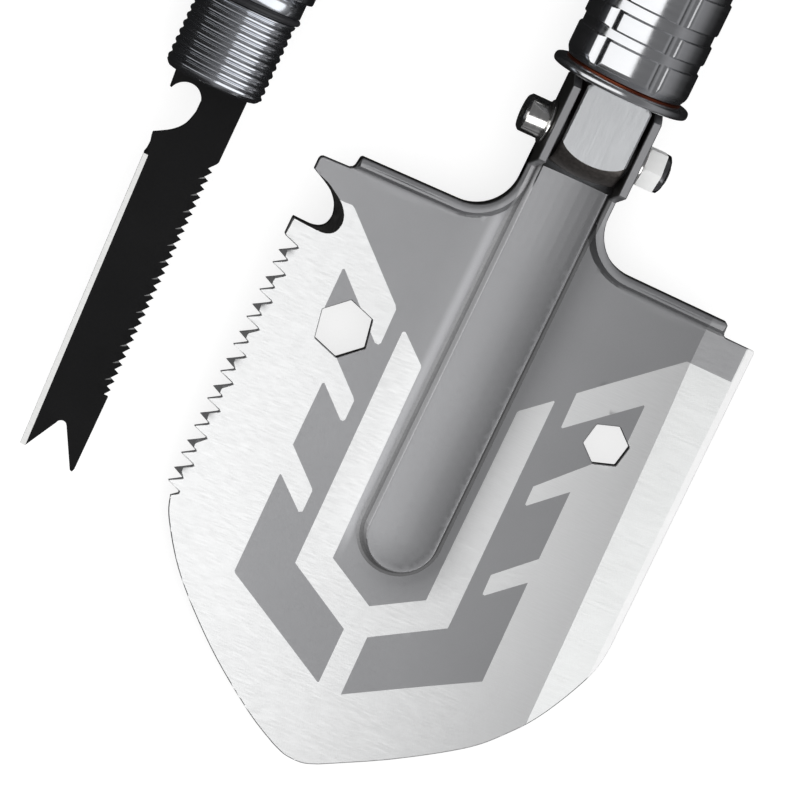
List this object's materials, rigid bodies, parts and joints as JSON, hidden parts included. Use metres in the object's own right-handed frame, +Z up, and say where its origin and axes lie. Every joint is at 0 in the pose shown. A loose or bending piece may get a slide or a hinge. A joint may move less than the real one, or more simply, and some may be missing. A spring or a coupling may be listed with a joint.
{
  "type": "detecting shovel",
  "caption": "Folding detecting shovel with a locking collar, serrated dished blade, hex wrench holes and an unscrewed rear grip that carries a saw knife.",
  "frame": {"origin": "centre of the bounding box, on the floor that the shovel lies on", "axes": "+Z up, +Y from the blade's tip towards the handle, +X to the right of the blade seen from its dished face"},
  "size_m": [0.2188, 0.4744, 0.0569],
  "materials": {
    "blade_steel": "stamped stainless sheet, bright brushed with a matte grey geometric two-tone finish",
    "bolt_steel": "bright plated",
    "spacer_plastic": "black nylon",
    "knuckle_steel": "satin",
    "bush_bronze": "bronze",
    "ring_steel": "polished",
    "collar_chrome": "polished dark chrome",
    "spring_steel": "oiled spring steel",
    "tube_aluminium": "anodised",
    "knife_black": "black coated steel with a bright ground edge",
    "holder_steel": "turned and threaded",
    "seal_rubber": "black",
    "ferrule_chrome": "polished",
    "cap_aluminium": "anodised, turned"
  },
  "bodies": {
    "head": {"shovel_blade": "blade_steel", "pivot_bolt": "bolt_steel", "pivot_nut": "bolt_steel", "pivot_washers": "bolt_steel", "pivot_spacers": "spacer_plastic"},
    "handle": {"neck_knuckle": "knuckle_steel", "pivot_bush": "bush_bronze", "collar_stop_ring": "spring_steel", "tube_plug": "tube_aluminium", "tube_pin": "spring_steel", "front_tube": "tube_aluminium"},
    "lock_ring": {"thrust_ring": "ring_steel", "thrust_washer": "bush_bronze"},
    "collar": {"locking_collar": "collar_chrome"},
    "grip": {"knife_blade": "knife_black", "knife_holder": "holder_steel", "knife_pins": "spring_steel", "holder_o_ring": "seal_rubber", "grip_ferrule": "ferrule_chrome", "grip_tube": "tube_aluminium"},
    "cap_seal": {"cap_o_ring": "seal_rubber"},
    "cap": {"butt_cap": "cap_aluminium"}
  },
  "joints": [
    {"name": "handle_fold", "type": "hinge", "parent": "head", "child": "handle", "pos_m": [0.03045, -0.01047, 0.0225], "axis": [1, 0, 0], "range_deg": [0, 115]},
    {"name": "ring_travel", "type": "slide", "parent": "handle", "child": "lock_ring", "axis": [0, 0.998, 0.0629], "range_m": [0, 0.0091]},
    {"name": "collar_turn", "type": "hinge", "parent": "lock_ring", "child": "collar", "pos_m": [0.03045, -0.01047, 0.0225], "axis": [0, 0.998, 0.0629], "range_deg": [0, 1080]},
    {"name": "grip_lift", "type": "slide", "parent": "head", "child": "grip", "axis": [0, 0, 1], "range_m": [0, 0.15]},
    {"name": "cap_travel", "type": "slide", "parent": "grip", "child": "cap_seal", "axis": [0, 1, 0], "range_m": [0, 0.0081]},
    {"name": "cap_turn", "type": "hinge", "parent": "cap_seal", "child": "cap", "pos_m": [-0.09045, 0.09703, 0.019], "axis": [0, 1, 0], "range_deg": [0, 1440]}
  ],
  "couplings": [
    {"joint": "ring_travel", "follows": "collar_turn", "m_per_rad": 0.00047746},
    {"joint": "cap_travel", "follows": "cap_turn", "m_per_rad": 0.00031831}
  ]
}
